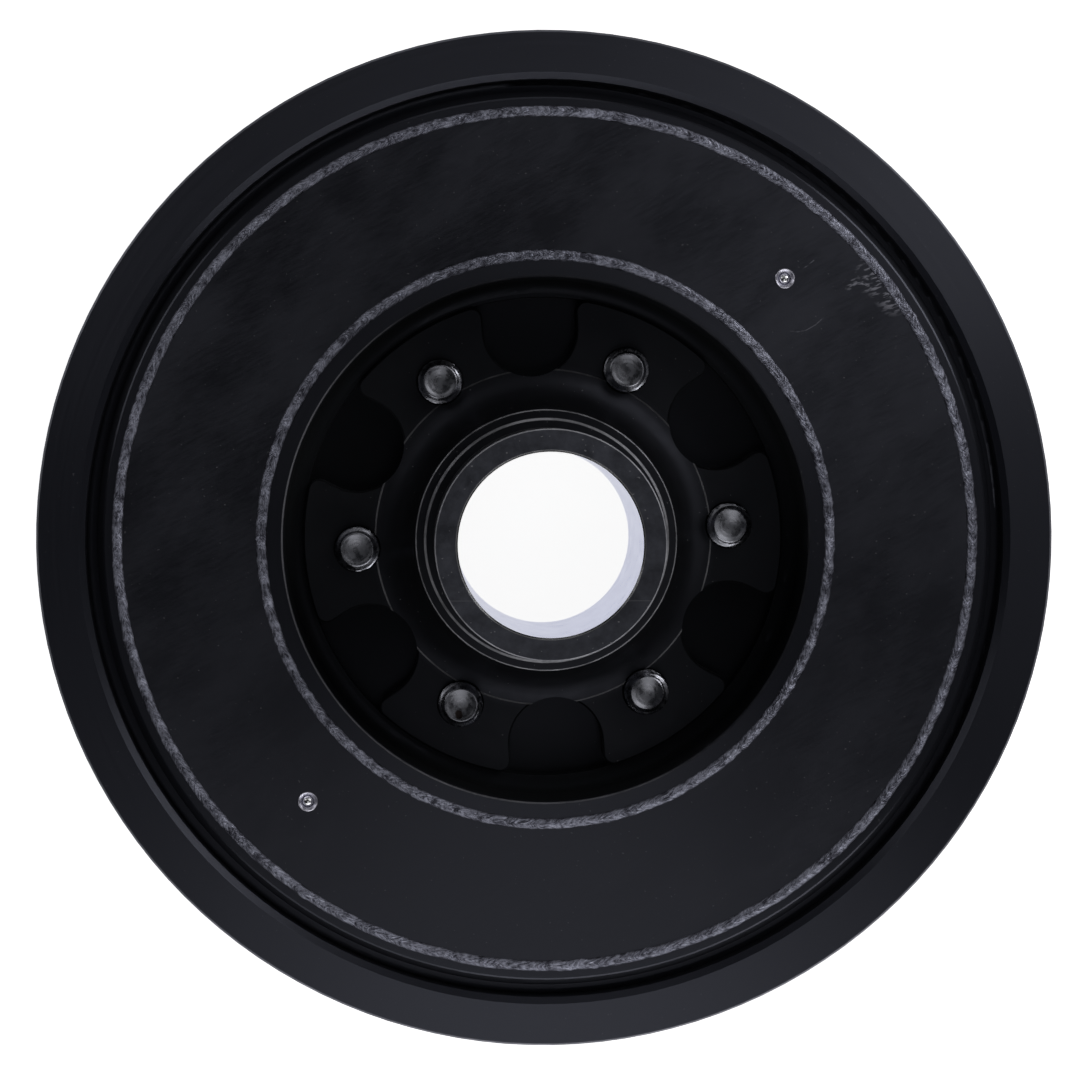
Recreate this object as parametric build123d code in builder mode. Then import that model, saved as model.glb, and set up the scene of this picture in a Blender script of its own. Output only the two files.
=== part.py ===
"""Harmonic balancer: a viscous crankshaft damper inside a grooved belt rim.

Frame: millimetres, the crankshaft axis is +Z, and the front face of the rim
stands on Z = 0. The snout points up, towards the engine. The first lobe is on +X.
"""
from build123d import *
import math
import os

# Whole damper, axial stations
REAR_FACE_Z = 46.0          # belt rim, weld lands and cover plate are flush here
SNOUT_TOP_Z = 75.0
PICK_TOLERANCE = 0.01

# Crank hub, one turned piece with a lobed flange
BORE_R = 20.0
SNOUT_R = 25.0
SNOUT_CHAMFER = 0.3
BORE_CHAMFER = 0.5
COLLAR_R = 27.2             # narrow collar at the foot of the snout
COLLAR_Z = 49.0
COLLAR_CHAMFER = 0.6
BARREL_R = 29.05
BARREL_TOP_Z = 46.9
BARREL_CHAMFER = 0.3
ROOT_RADIUS = 9.2           # concave sweep from barrel to flange boss
BOSS_R = BARREL_R + ROOT_RADIUS
BOSS_TOP_Z = 27.0
BOSS_EDGE_CHAMFER = 0.3
HUB_FRONT_Z = 18.0
SPIGOT_R = 29.9             # centres the hub in the bore of the web
SPIGOT_LENGTH = 2.0
SPIGOT_FRONT_Z = HUB_FRONT_Z - SPIGOT_LENGTH
FLANGE_THICKNESS = 8.0
LOBE_TOP_Z = HUB_FRONT_Z + FLANGE_THICKNESS
LOBE_R = 54.5
LOBE_CORNER_RADIUS = 2.5
LOBE_EDGE_CHAMFER = 0.4
LOBES = 6
SCALLOP_WIDTH = 21.2
SCALLOP_CENTRE_R = 47.1
SCALLOP_START_ANGLE = 180.0 / LOBES

# Bolts that clamp the housing to the hub
BOLTS = LOBES
BOLT_CIRCLE_R = 42.3
BOLT_R = 5.0
BOLT_LENGTH = 25.0         # the ends stand clear of the lobes
BOLT_END_CHAMFER = 1.3
BOLT_HEAD_FLATS = 16.0
BOLT_HEAD_HEIGHT = 6.0
BOLT_HEAD_FACE_R = 7.6
BOLT_HEAD_CORNER_R = 9.2
BOLT_HEAD_CROWN = 0.9
TAPPED_HOLE_R = 5.05
COUNTERSINK_R = 5.35
COUNTERSINK_ANGLE = 90.0
CLEARANCE_HOLE_R = 5.5
WASHER_R = 10.0
WASHER_HOLE_R = 5.25
WASHER_THICKNESS = 1.6

# Damper housing, a turned channel with a web
HOUSING_R = 99.6
LAND_R = 98.0               # the outer wall tapers in to this edge at the rear face
LAND_TAPER_DEPTH = 3.0
LAND_CHAMFER = 0.25
POCKET_R = 58.4
POCKET_EDGE_CHAMFER = 0.4
POCKET_ROOT_RADIUS = 3.0
PILOT_R = 54.6              # the lobes of the hub centre in this recess
PILOT_TOP_Z = 24.0
WEB_THICKNESS = 10.0
WEB_FRONT_Z = HUB_FRONT_Z - WEB_THICKNESS
WEB_BORE_R = 30.0
WEB_BORE_CHAMFER = 0.8
DISH_R = 58.0               # front recess that holds the bolt heads
DISH_ROOT_RADIUS = 3.0
DISH_EDGE_RADIUS = 2.0
CHAMBER_INNER_R = 65.0
CHAMBER_OUTER_R = 93.3
CHAMBER_FLOOR_Z = 7.0

# Belt rim, shrunk on the housing, with a relief groove open to the rear between them
RIM_R = 112.9
RIM_EDGE_CHAMFER = 0.5
RELIEF_OUTER_R = 102.2
RELIEF_DEPTH = 7.0
RELIEF_FLOOR_RADIUS = 1.0
RELIEF_RIM_CHAMFER = 1.4

# Cover plate, welds and fill plugs
COVER_INNER_R = 63.2
COVER_OUTER_R = 95.0
COVER_THICKNESS = 4.5
COVER_LOW_Z = REAR_FACE_Z - COVER_THICKNESS
WELD_HALF_WIDTH = 1.15      # the groove for each bead is cut half from either side of the joint
WELD_DEPTH = 2.5
WELD_CROWN = 0.35
FILL_CIRCLE_R = 78.6
FILL_PLUGS = 2
FILL_START_ANGLE = 44.0
FILL_SLEEVE_R = 2.2
FILL_SLEEVE_BORE_R = 1.35
FILL_SLEEVE_STAND = 0.15
FILL_SLEEVE_CHAMFER = 0.2
FILL_BALL_R = 1.36
FILL_BALL_DEPTH = 1.5       # centre of the ball below the rear face

# Inertia ring and its bearings, sealed in the chamber
FLUID_GAP = 0.4
JOURNAL_CLEARANCE = 0.06
THRUST_CLEARANCE = 0.1
BAND_THICKNESS = 1.5
BAND_HEIGHT = 20.0
BAND_SPLIT = 1.0
THRUST_INNER_R = 68.0
THRUST_OUTER_R = 75.0
THRUST_THICKNESS = 1.6
RING_EDGE_CHAMFER = 0.8

# Multi-rib belt grooves
RIBS = 8
RIB_PITCH = 3.56
RIB_TIP_R = 110.9
GROOVE_DEPTH = 2.8
GROOVE_ROOT_HALF_WIDTH = 0.35
GROOVE_HALF_ANGLE = 20.0
GROOVE_TOP_HALF_WIDTH = GROOVE_ROOT_HALF_WIDTH + GROOVE_DEPTH * math.tan(math.radians(GROOVE_HALF_ANGLE))
FRONT_LIP = 5.0
BELT_WIDTH = RIBS * RIB_PITCH

WASHER_LOW_Z = WEB_FRONT_Z - WASHER_THICKNESS
BOLT_HEAD_LOW_Z = WASHER_LOW_Z - BOLT_HEAD_HEIGHT


def half_section(inner_r, outer_r, low_z, high_z, mode=Mode.ADD):
    """Draw the rectangle that turns into a ring between two radii and two heights."""
    with Locations(((inner_r + outer_r) / 2, (low_z + high_z) / 2)):
        Rectangle(outer_r - inner_r, high_z - low_z, mode=mode)


def weld_groove(joint_r, mode=Mode.SUBTRACT):
    """Draw the section of the groove that a bead fills, centred on its joint."""
    half_section(joint_r - WELD_HALF_WIDTH, joint_r + WELD_HALF_WIDTH, REAR_FACE_Z - WELD_DEPTH, REAR_FACE_Z, mode)


def rims(part, radius, height):
    """Pick the circular edges about the shaft axis with this radius at this height."""
    circles = part.edges().filter_by(GeomType.CIRCLE)
    at_height = circles.filter_by(lambda edge: abs(edge.center().Z - height) < PICK_TOLERANCE)
    return at_height.filter_by(lambda edge: abs(edge.radius - radius) < PICK_TOLERANCE)


def polar_point(radius, angle, height=0.0):
    """Point at a radius and an angle in degrees about the shaft axis."""
    turn = math.radians(angle)
    return Vector(radius * math.cos(turn), radius * math.sin(turn), height)


def save(builder, name):
    """Label a finished piece and write it to its own file."""
    builder.part.label = name
    export_step(builder.part, f"parts/{name}.step")


os.makedirs("parts", exist_ok=True)

# Crank hub: turned outline, then scallops between the lobes, then tapped holes
with BuildPart() as crank_hub:
    with BuildSketch(Plane.XZ):
        with BuildLine():
            Polyline(
                (BARREL_R, BOSS_TOP_Z + ROOT_RADIUS),
                (BARREL_R, BARREL_TOP_Z),
                (COLLAR_R, BARREL_TOP_Z),
                (COLLAR_R, COLLAR_Z),
                (SNOUT_R, COLLAR_Z),
                (SNOUT_R, SNOUT_TOP_Z),
                (BORE_R, SNOUT_TOP_Z),
                (BORE_R, SPIGOT_FRONT_Z),
                (SPIGOT_R, SPIGOT_FRONT_Z),
                (SPIGOT_R, HUB_FRONT_Z),
                (LOBE_R, HUB_FRONT_Z),
                (LOBE_R, LOBE_TOP_Z),
                (BOSS_R, LOBE_TOP_Z),
                (BOSS_R, BOSS_TOP_Z),
            )
            CenterArc((BOSS_R, BOSS_TOP_Z + ROOT_RADIUS), ROOT_RADIUS, 180, 90)
        make_face()
    revolve(axis=Axis.Z)
    chamfer(rims(crank_hub, SNOUT_R, SNOUT_TOP_Z), SNOUT_CHAMFER)
    chamfer(rims(crank_hub, COLLAR_R, COLLAR_Z), COLLAR_CHAMFER)
    chamfer(rims(crank_hub, BARREL_R, BARREL_TOP_Z), BARREL_CHAMFER)
    chamfer(rims(crank_hub, BORE_R, SNOUT_TOP_Z), BORE_CHAMFER)
    chamfer(rims(crank_hub, BORE_R, SPIGOT_FRONT_Z), BORE_CHAMFER)
    chamfer(rims(crank_hub, BOSS_R, BOSS_TOP_Z), BOSS_EDGE_CHAMFER)
    with BuildSketch(Plane.XY.offset(HUB_FRONT_Z)):
        with PolarLocations(SCALLOP_CENTRE_R, LOBES, start_angle=SCALLOP_START_ANGLE):
            Circle(SCALLOP_WIDTH / 2)
            Rectangle(SCALLOP_WIDTH, SCALLOP_WIDTH, align=(Align.MIN, Align.CENTER))
    extrude(amount=ROOT_RADIUS + FLANGE_THICKNESS, mode=Mode.SUBTRACT)
    upright = crank_hub.edges().filter_by(Axis.Z)
    lobe_corners = upright.filter_by(
        lambda edge: math.hypot(edge.center().X, edge.center().Y) > LOBE_R - PICK_TOLERANCE
    )
    fillet(lobe_corners, LOBE_CORNER_RADIUS)
    chamfer(rims(crank_hub, LOBE_R, LOBE_TOP_Z), LOBE_EDGE_CHAMFER)
    with Locations(Plane.XY.offset(LOBE_TOP_Z)):
        with PolarLocations(BOLT_CIRCLE_R, BOLTS):
            CounterSinkHole(TAPPED_HOLE_R, COUNTERSINK_R, counter_sink_angle=COUNTERSINK_ANGLE)
save(crank_hub, "crank_hub")

# Damper housing: channel, web and pilot recess in one turned section, then the bolt holes
with BuildPart() as damper_housing:
    with BuildSketch(Plane.XZ):
        half_section(POCKET_R, HOUSING_R, 0, REAR_FACE_Z)
        half_section(DISH_R, POCKET_R, 0, WEB_FRONT_Z)
        half_section(CHAMBER_INNER_R, CHAMBER_OUTER_R, CHAMBER_FLOOR_Z, REAR_FACE_Z, Mode.SUBTRACT)
        half_section(COVER_INNER_R, COVER_OUTER_R, COVER_LOW_Z, REAR_FACE_Z, Mode.SUBTRACT)
        half_section(WEB_BORE_R, POCKET_R, WEB_FRONT_Z, HUB_FRONT_Z)
        half_section(PILOT_R, POCKET_R, HUB_FRONT_Z, PILOT_TOP_Z)
        weld_groove(COVER_INNER_R)
        weld_groove(COVER_OUTER_R)
        with BuildLine():
            Polyline(
                (LAND_R, REAR_FACE_Z),
                (HOUSING_R, REAR_FACE_Z - LAND_TAPER_DEPTH),
                (HOUSING_R, REAR_FACE_Z),
                close=True,
            )
        make_face(mode=Mode.SUBTRACT)
    revolve(axis=Axis.Z)
    fillet(rims(damper_housing, POCKET_R, PILOT_TOP_Z), POCKET_ROOT_RADIUS)
    fillet(rims(damper_housing, DISH_R, WEB_FRONT_Z), DISH_ROOT_RADIUS)
    fillet(rims(damper_housing, DISH_R, 0), DISH_EDGE_RADIUS)
    chamfer(rims(damper_housing, LAND_R, REAR_FACE_Z), LAND_CHAMFER)
    chamfer(rims(damper_housing, POCKET_R, REAR_FACE_Z), POCKET_EDGE_CHAMFER)
    chamfer(rims(damper_housing, WEB_BORE_R, WEB_FRONT_Z), WEB_BORE_CHAMFER)
    with Locations(Plane.XY.offset(HUB_FRONT_Z)):
        with PolarLocations(BOLT_CIRCLE_R, BOLTS):
            Hole(CLEARANCE_HOLE_R)
save(damper_housing, "damper_housing")

# Belt rim: ring with a ledge that floors the relief groove, then the belt grooves outside
with BuildPart() as belt_rim:
    with BuildSketch(Plane.XZ):
        half_section(HOUSING_R, RIM_R, 0, REAR_FACE_Z)
        half_section(HOUSING_R, RELIEF_OUTER_R, REAR_FACE_Z - RELIEF_DEPTH, REAR_FACE_Z, Mode.SUBTRACT)
        half_section(RIB_TIP_R, RIM_R, FRONT_LIP, FRONT_LIP + BELT_WIDTH, Mode.SUBTRACT)
        for rib in range(RIBS):
            with Locations((RIB_TIP_R, FRONT_LIP + (rib + 0.5) * RIB_PITCH)):
                Polygon(
                    (0, GROOVE_TOP_HALF_WIDTH),
                    (-GROOVE_DEPTH, GROOVE_ROOT_HALF_WIDTH),
                    (-GROOVE_DEPTH, -GROOVE_ROOT_HALF_WIDTH),
                    (0, -GROOVE_TOP_HALF_WIDTH),
                    align=None,
                    mode=Mode.SUBTRACT,
                )
    revolve(axis=Axis.Z)
    fillet(rims(belt_rim, RELIEF_OUTER_R, REAR_FACE_Z - RELIEF_DEPTH), RELIEF_FLOOR_RADIUS)
    chamfer(rims(belt_rim, RELIEF_OUTER_R, REAR_FACE_Z), RELIEF_RIM_CHAMFER)
    chamfer(rims(belt_rim, RIM_R, REAR_FACE_Z), RIM_EDGE_CHAMFER)
    chamfer(rims(belt_rim, RIM_R, 0), RIM_EDGE_CHAMFER)
save(belt_rim, "belt_rim")

# Cover plate: flat ring, rebated for both welds, drilled for the fill plugs
with BuildPart() as cover_plate:
    with BuildSketch(Plane.XZ):
        half_section(COVER_INNER_R, COVER_OUTER_R, COVER_LOW_Z, REAR_FACE_Z)
        weld_groove(COVER_INNER_R)
        weld_groove(COVER_OUTER_R)
    revolve(axis=Axis.Z)
    with Locations(Plane.XY.offset(REAR_FACE_Z)):
        with PolarLocations(FILL_CIRCLE_R, FILL_PLUGS, start_angle=FILL_START_ANGLE):
            Hole(FILL_SLEEVE_R)
save(cover_plate, "cover_plate")

# Weld beads: each fills its groove and stands proud as a low crown
for weld_name, joint_r in (("inner_weld", COVER_INNER_R), ("outer_weld", COVER_OUTER_R)):
    with BuildPart() as weld:
        with BuildSketch(Plane.XZ):
            weld_groove(joint_r, Mode.ADD)
            with BuildLine():
                Line((joint_r - WELD_HALF_WIDTH, REAR_FACE_Z), (joint_r + WELD_HALF_WIDTH, REAR_FACE_Z))
                ThreePointArc(
                    (joint_r + WELD_HALF_WIDTH, REAR_FACE_Z),
                    (joint_r, REAR_FACE_Z + WELD_CROWN),
                    (joint_r - WELD_HALF_WIDTH, REAR_FACE_Z),
                )
            make_face()
        revolve(axis=Axis.Z)
    save(weld, weld_name)

# Fill plugs: a sleeve pressed into the cover and a ball pressed into the sleeve
for plug in range(FILL_PLUGS):
    plug_angle = FILL_START_ANGLE + plug * 360 / FILL_PLUGS
    with BuildPart() as fill_sleeve:
        with BuildSketch(Plane(polar_point(FILL_CIRCLE_R, plug_angle, COVER_LOW_Z))):
            Circle(FILL_SLEEVE_R)
            Circle(FILL_SLEEVE_BORE_R, mode=Mode.SUBTRACT)
        extrude(amount=COVER_THICKNESS + FILL_SLEEVE_STAND)
        chamfer(fill_sleeve.edges().group_by(Axis.Z)[-1], FILL_SLEEVE_CHAMFER)
    save(fill_sleeve, f"fill_sleeve_{plug + 1}")
    with BuildPart() as fill_ball:
        with Locations(polar_point(FILL_CIRCLE_R, plug_angle, REAR_FACE_Z - FILL_BALL_DEPTH)):
            Sphere(FILL_BALL_R)
    save(fill_ball, f"fill_ball_{plug + 1}")

# Inertia ring: fills the chamber apart from the fluid gap, with seats for its bearings
RING_INNER_R = CHAMBER_INNER_R + FLUID_GAP
RING_OUTER_R = CHAMBER_OUTER_R - FLUID_GAP
RING_LOW_Z = CHAMBER_FLOOR_Z + FLUID_GAP
RING_HIGH_Z = COVER_LOW_Z - FLUID_GAP
RING_MIDDLE_Z = (RING_LOW_Z + RING_HIGH_Z) / 2
BAND_INNER_R = CHAMBER_INNER_R + JOURNAL_CLEARANCE
BAND_OUTER_R = BAND_INNER_R + BAND_THICKNESS
BAND_LOW_Z = RING_MIDDLE_Z - BAND_HEIGHT / 2
BAND_HIGH_Z = RING_MIDDLE_Z + BAND_HEIGHT / 2
FRONT_THRUST_LOW_Z = CHAMBER_FLOOR_Z + THRUST_CLEARANCE
FRONT_THRUST_HIGH_Z = FRONT_THRUST_LOW_Z + THRUST_THICKNESS
REAR_THRUST_HIGH_Z = COVER_LOW_Z - THRUST_CLEARANCE
REAR_THRUST_LOW_Z = REAR_THRUST_HIGH_Z - THRUST_THICKNESS

with BuildPart() as inertia_ring:
    with BuildSketch(Plane.XZ):
        half_section(RING_INNER_R, RING_OUTER_R, RING_LOW_Z, RING_HIGH_Z)
        half_section(RING_INNER_R, BAND_OUTER_R, BAND_LOW_Z, BAND_HIGH_Z, Mode.SUBTRACT)
        half_section(THRUST_INNER_R, THRUST_OUTER_R, RING_LOW_Z, FRONT_THRUST_HIGH_Z, Mode.SUBTRACT)
        half_section(THRUST_INNER_R, THRUST_OUTER_R, REAR_THRUST_LOW_Z, RING_HIGH_Z, Mode.SUBTRACT)
    revolve(axis=Axis.Z)
    chamfer(rims(inertia_ring, RING_OUTER_R, RING_LOW_Z), RING_EDGE_CHAMFER)
    chamfer(rims(inertia_ring, RING_OUTER_R, RING_HIGH_Z), RING_EDGE_CHAMFER)
save(inertia_ring, "inertia_ring")

# Journal band: split so that it springs into the groove of the inertia ring
with BuildPart() as journal_band:
    with BuildSketch(Plane.XZ):
        half_section(BAND_INNER_R, BAND_OUTER_R, BAND_LOW_Z, BAND_HIGH_Z)
    revolve(axis=Axis.Z)
    with BuildSketch(Plane.XY.offset(BAND_LOW_Z)):
        Rectangle(BAND_OUTER_R + BAND_THICKNESS, BAND_SPLIT, align=(Align.MIN, Align.CENTER))
    extrude(amount=BAND_HEIGHT, mode=Mode.SUBTRACT)
save(journal_band, "journal_band")

# Thrust washers: one in each face of the inertia ring
for thrust_name, thrust_low_z in (
    ("front_thrust_washer", FRONT_THRUST_LOW_Z),
    ("rear_thrust_washer", REAR_THRUST_LOW_Z),
):
    with BuildPart() as thrust_washer:
        with BuildSketch(Plane.XY.offset(thrust_low_z)):
            Circle(THRUST_OUTER_R)
            Circle(THRUST_INNER_R, mode=Mode.SUBTRACT)
        extrude(amount=THRUST_THICKNESS)
    save(thrust_washer, thrust_name)

# Bolts and washers: from the front through the web of the housing into the lobes of the hub
for number in range(BOLTS):
    bolt_angle = number * 360 / BOLTS
    bolt_foot = polar_point(BOLT_CIRCLE_R, bolt_angle)
    head_plane = Plane(bolt_foot).offset(BOLT_HEAD_LOW_Z)
    washer_plane = Plane(bolt_foot).offset(WASHER_LOW_Z)
    with BuildPart() as bolt:
        with BuildSketch(head_plane):
            RegularPolygon(BOLT_HEAD_FLATS / 2, 6, major_radius=False)
        extrude(amount=BOLT_HEAD_HEIGHT)
        with BuildSketch(Plane(bolt_foot, x_dir=(1, 0, 0), z_dir=(0, -1, 0))):
            with BuildLine():
                Polyline(
                    (0, BOLT_HEAD_LOW_Z),
                    (BOLT_HEAD_FACE_R, BOLT_HEAD_LOW_Z),
                    (BOLT_HEAD_CORNER_R, BOLT_HEAD_LOW_Z + BOLT_HEAD_CROWN),
                    (BOLT_HEAD_CORNER_R, WASHER_LOW_Z),
                    (0, WASHER_LOW_Z),
                    close=True,
                )
            make_face()
        revolve(axis=Axis(bolt_foot, (0, 0, 1)), mode=Mode.INTERSECT)
        with BuildSketch(washer_plane):
            Circle(BOLT_R)
        extrude(amount=BOLT_LENGTH)
        chamfer(bolt.edges().group_by(Axis.Z)[-1], BOLT_END_CHAMFER)
    save(bolt, f"bolt_{number + 1}")
    with BuildPart() as washer:
        with BuildSketch(washer_plane):
            Circle(WASHER_R)
            Circle(WASHER_HOLE_R, mode=Mode.SUBTRACT)
        extrude(amount=WASHER_THICKNESS)
    save(washer, f"washer_{number + 1}")
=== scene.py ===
"""Looks for the harmonic balancer: turned black steel, rippled welds, bright plugs and threaded bolt ends.

Lengths are in metres unless a name or comment says millimetres. Colours are linear.
"""
import math

import bpy
import numpy as np
from mathutils import Matrix, Vector


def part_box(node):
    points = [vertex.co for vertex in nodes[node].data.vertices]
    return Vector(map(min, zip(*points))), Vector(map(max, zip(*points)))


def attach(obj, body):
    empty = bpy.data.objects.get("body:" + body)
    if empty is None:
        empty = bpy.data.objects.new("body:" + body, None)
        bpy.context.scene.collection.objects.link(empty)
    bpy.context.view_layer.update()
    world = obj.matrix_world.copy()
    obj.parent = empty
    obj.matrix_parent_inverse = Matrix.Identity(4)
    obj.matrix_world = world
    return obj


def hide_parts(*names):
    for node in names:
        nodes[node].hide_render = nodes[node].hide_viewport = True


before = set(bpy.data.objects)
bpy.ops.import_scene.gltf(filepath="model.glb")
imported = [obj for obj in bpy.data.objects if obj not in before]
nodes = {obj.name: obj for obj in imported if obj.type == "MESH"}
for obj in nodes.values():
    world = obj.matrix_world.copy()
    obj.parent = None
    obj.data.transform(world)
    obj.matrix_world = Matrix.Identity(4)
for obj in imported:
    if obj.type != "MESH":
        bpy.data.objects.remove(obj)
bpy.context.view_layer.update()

MM = 0.001
TURN = 2 * math.pi
SHARP_ANGLE = math.radians(42)

# Share of a turn by which the highlights of turned metal are turned off its lathe marks
GRAIN_TURN = 0.25

# Camera: straight above the snout, a little off the shaft axis
SNOUT_TOP = 75.0 * MM
CAMERA_TO_SNOUT = 797.0 * MM
BORE_OFFSET_RIGHT = 2.38 * MM
BORE_OFFSET_DOWN = 1.09 * MM
AXIS_LEAN_RIGHT = -0.0343
AXIS_LEAN_DOWN = -0.03675
LOBE_ROLL = math.radians(3.6)
LENS_MM = 124.0
SENSOR_MM = 36.0
NEAR_CLIP = 0.01
FAR_CLIP = 20.0

# Rings of soft lamps about the shaft: elevation in degrees, distance, width and height, and then the bearing in
# degrees and the watts of each lamp
LAMP_RINGS = (
    ("low", 22.0, 0.9, 0.42, 0.35, ((30, 2.1), (90, 0.3), (150, 0.75), (240, 0.75), (270, 1.25), (300, 1.5))),
    ("mid", 48.0, 1.0, 0.55, 0.45, ((0, 0.3), (45, 0.8), (90, 0.1), (135, 0.25), (270, 0.45))),
    ("high", 70.0, 1.1, 0.40, 0.40, ((30, 0.1), (270, 0.35))),
)
AIR_COLOUR = (0.80, 0.86, 1.0, 1.0)
AIR_STRENGTH = 0.012
BENCH_HALF = 3.0
BENCH_GREY = (0.82, 0.82, 0.82)
BENCH_GLOW = 0.92

# Welds: the groove, and then the crown, its width, the ripples, their arrow heads and fine teeth, the calm stretch,
# whose reach is in radians, and the stop with its crater
REAR_FACE = 46.0 * MM
WELD_HALF_WIDTH = 1.15 * MM
WELD_DEPTH = 2.5 * MM
OUTER_JOINT_R = 95.0 * MM
INNER_JOINT_R = 63.2 * MM
CROWN_POINTS = 15
CROWN_HEIGHT = 0.25 * MM
CROWN_WANDER = 0.04 * MM
CROWN_TUCK = 0.02 * MM
WIDTH_MIDDLE = 1.02
WIDTH_WANDER = 0.03
WIDTH_BY_RIPPLE = 0.06
SIDE_WANDER = 0.05 * MM
RIPPLE_PITCH = 1.75 * MM
RIPPLE_COLUMNS = 10
RIPPLE_HEIGHT = 0.26 * MM
RIPPLE_MEAN = 0.35
RIPPLE_SLIP = 0.35
RIPPLE_FALL = 1.5
RIPPLE_STRENGTHS = (0.45, 1.25)
SPARE_RIPPLES = 8
ARROW_DEPTH = 1.3
ARROW_POWER = 1.3
BRAID = 0.2
FINE_RATE = 2.6
FINE_LEAN = 0.7
FINE_SHARE = 0.2
CALM_SHARE = 0.25
CALM_REACH = 1.6
STOP_HEIGHT = 0.22 * MM
STOP_SPREAD = 1.5 * MM
CRATER_SHARE = 0.8
CRATER_OFFSET = 2.6 * MM
CRATER_SPREAD = 0.7 * MM
STREAK_SPREAD = 0.6
# Each weld: its joint's radius, the bearings of its stop and of its calm stretch, and its seed
WELDS = (("outer_weld", OUTER_JOINT_R, math.radians(81.5), math.radians(170), 5),
         ("inner_weld", INNER_JOINT_R, math.radians(69.8), math.radians(190), 9))

# Bolts
BOLTS = 6
BOLT_COLUMNS = 96
BOLT_CIRCLE_R = 42.3 * MM
BOLT_TIP = 31.4 * MM
BOLT_R = 5.0 * MM
BOLT_END_R = 3.7 * MM
BOLT_NECK_R = 4.5 * MM
LIP_WIDTH = 0.12 * MM
DISH_RINGS = 22
DISH_POWER = 2.2
DISH_RIPPLE = 0.012 * MM
DISH_RIPPLE_RATE = 23
THREAD_PITCH = 1.5 * MM
THREAD_DEPTH = 0.9 * MM
THREAD_ROOT_FROM = 0.78
THREAD_FLANK = 0.6
HEAD_LOW = 0.4 * MM
HEAD_HIGH = 6.4 * MM
HEAD_HALF_FLATS = 8.0 * MM
HEAD_FACE_R = 7.6 * MM
HEAD_BACK_R = 7.7 * MM
HEAD_MIDDLE_R = 4.0 * MM
HEAD_CORNER_R = 9.2 * MM
HEAD_FACE_BORDER = 0.25 * MM
HEAD_BACK_BEVEL = 0.1 * MM
HEAD_CHAMFER = 0.9 * MM
CHAMFER_TURN = 0.75 * MM
CHAMFER_RINGS = 6
# Each bolt: where its thread starts, how its head is turned, and how deep its end is dished, in millimetres
BOLT_LOOKS = ((0.10, 0.35, 0.60), (0.62, 0.10, 0.34), (0.35, 0.80, 0.50),
              (0.80, 0.25, 0.42), (0.20, 0.55, 0.48), (0.48, 0.95, 0.62))

# Fill plugs: radius and height over the rear face in millimetres, and share of the staking's wander. The section
# runs up the bore and the funnel, over the lip and down the outer wall
SLEEVE_COLUMNS = 64
SLEEVE_SECTION = ((1.37, -4.5, 0.0), (1.37, -0.55, 0.7), (1.55, -0.28, 1.0), (1.8, -0.01, 1.0),
                  (2.02, 0.15, 0.6), (2.14, 0.13, 0.2), (2.2, 0.05, 0.0), (2.2, -4.5, 0.0))
STAKING_WANDER = 0.02 * MM
SLEEVE_SEED = 20

# Colours of the black coats, and of what shows on them
SPECULAR_TINT = (0.78, 0.81, 1.0, 1.0)
RIM_BLACK = (0.0052, 0.0055, 0.0075)
HOUSING_BLACK = (0.0052, 0.0055, 0.0072)
COVER_BLACK = (0.0062, 0.0064, 0.0080)
HUB_BLACK = (0.0058, 0.0060, 0.0068)
# Painted shade laid in the housing's deep pocket and on the hub's lobes
PAINTED_SHADE_BLACK = (0.009, 0.0098, 0.009, 1.0)
DUST = (0.05, 0.05, 0.055)
COVER_DUST = (0.06, 0.06, 0.065)
COVER_STREAK = (0.06, 0.06, 0.07)
COVER_SCRATCH = (0.20, 0.20, 0.23)
# Rubbed edges that also carry a painted glint
WEAR_AND_GLINT_STEEL = (0.42, 0.42, 0.46)
WEAR_AND_GLINT_HUB = (0.42, 0.42, 0.45)
SNOUT_END = (0.050, 0.052, 0.062)
# Thin light line across the snout's end
PALE_LINE_GREY = (0.14, 0.14, 0.15)
BORE_STEEL = (0.50, 0.50, 0.51)

# Colours of the bare and plated metals
WELD_GREY = (0.22, 0.22, 0.27)
WELD_DARK = (0.05, 0.05, 0.065)
WELD_BRIGHT = (0.40, 0.41, 0.50)
WELD_SOOT = (0.035, 0.035, 0.045)
BOLT_ZINC = (0.34, 0.345, 0.385)
BOLT_STAIN = (0.05, 0.035, 0.03)
WASHER_ZINC = (0.45, 0.46, 0.48)
SLEEVE_STEEL = (0.66, 0.65, 0.74)
BALL_STEEL = (0.88, 0.88, 0.90)
RING_STEEL = (0.45, 0.45, 0.46)
BRONZE = (0.55, 0.36, 0.16)

# Edges rubbed thin that also carry a painted glint: radius and half width in millimetres, wear at the middle,
# and its growth per metre along X and Y, which makes the painted glint stronger on the side the lamps catch
RIM_EDGES = ((112.72, 0.2, 0.0, (0.0, -8.0)),)
HOUSING_EDGES = ((58.62, 0.2, 0.1, (-22.0, -14.0)),)
HUB_EDGES = ((24.85, 0.18, 0.8, (0.0, 0.0)), (26.9, 0.32, 0.8, (0.0, 0.0)),
             (28.92, 0.17, 0.8, (0.0, 0.0)), (38.12, 0.24, 1.2, (0.0, -28.0)))

# Marks of handling in millimetres: a stroke's start, end and half width, or a spot's middle and spread
SCRATCH = ((60.6, 56.4), (63.2, 58.2), 0.16)
CURVED_SCRATCH = ((57.0, 42.9), (58.8, 42.6), (60.6, 42.9), (62.7, 43.9), (64.7, 45.5))
CURVED_SCRATCH_HALF_WIDTH = 0.15
SCUFFS = (((75.8, 54.8), (80.4, 48.4), 3.9), ((71.0, 52.4), (77.0, 51.6), 1.8))
SMOOTH_SPOTS = (((3.4, 69.3), 3.6), ((-39.3, 80.3), 4.6))
# A thin light line across the snout's end: its start, end and half width
PALE_LINE = ((-30.0, -10.1), (30.0, -13.9), 0.09)
STAIN = ((-21.75, -38.5), (-21.7, -39.0), 1.1)

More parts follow.
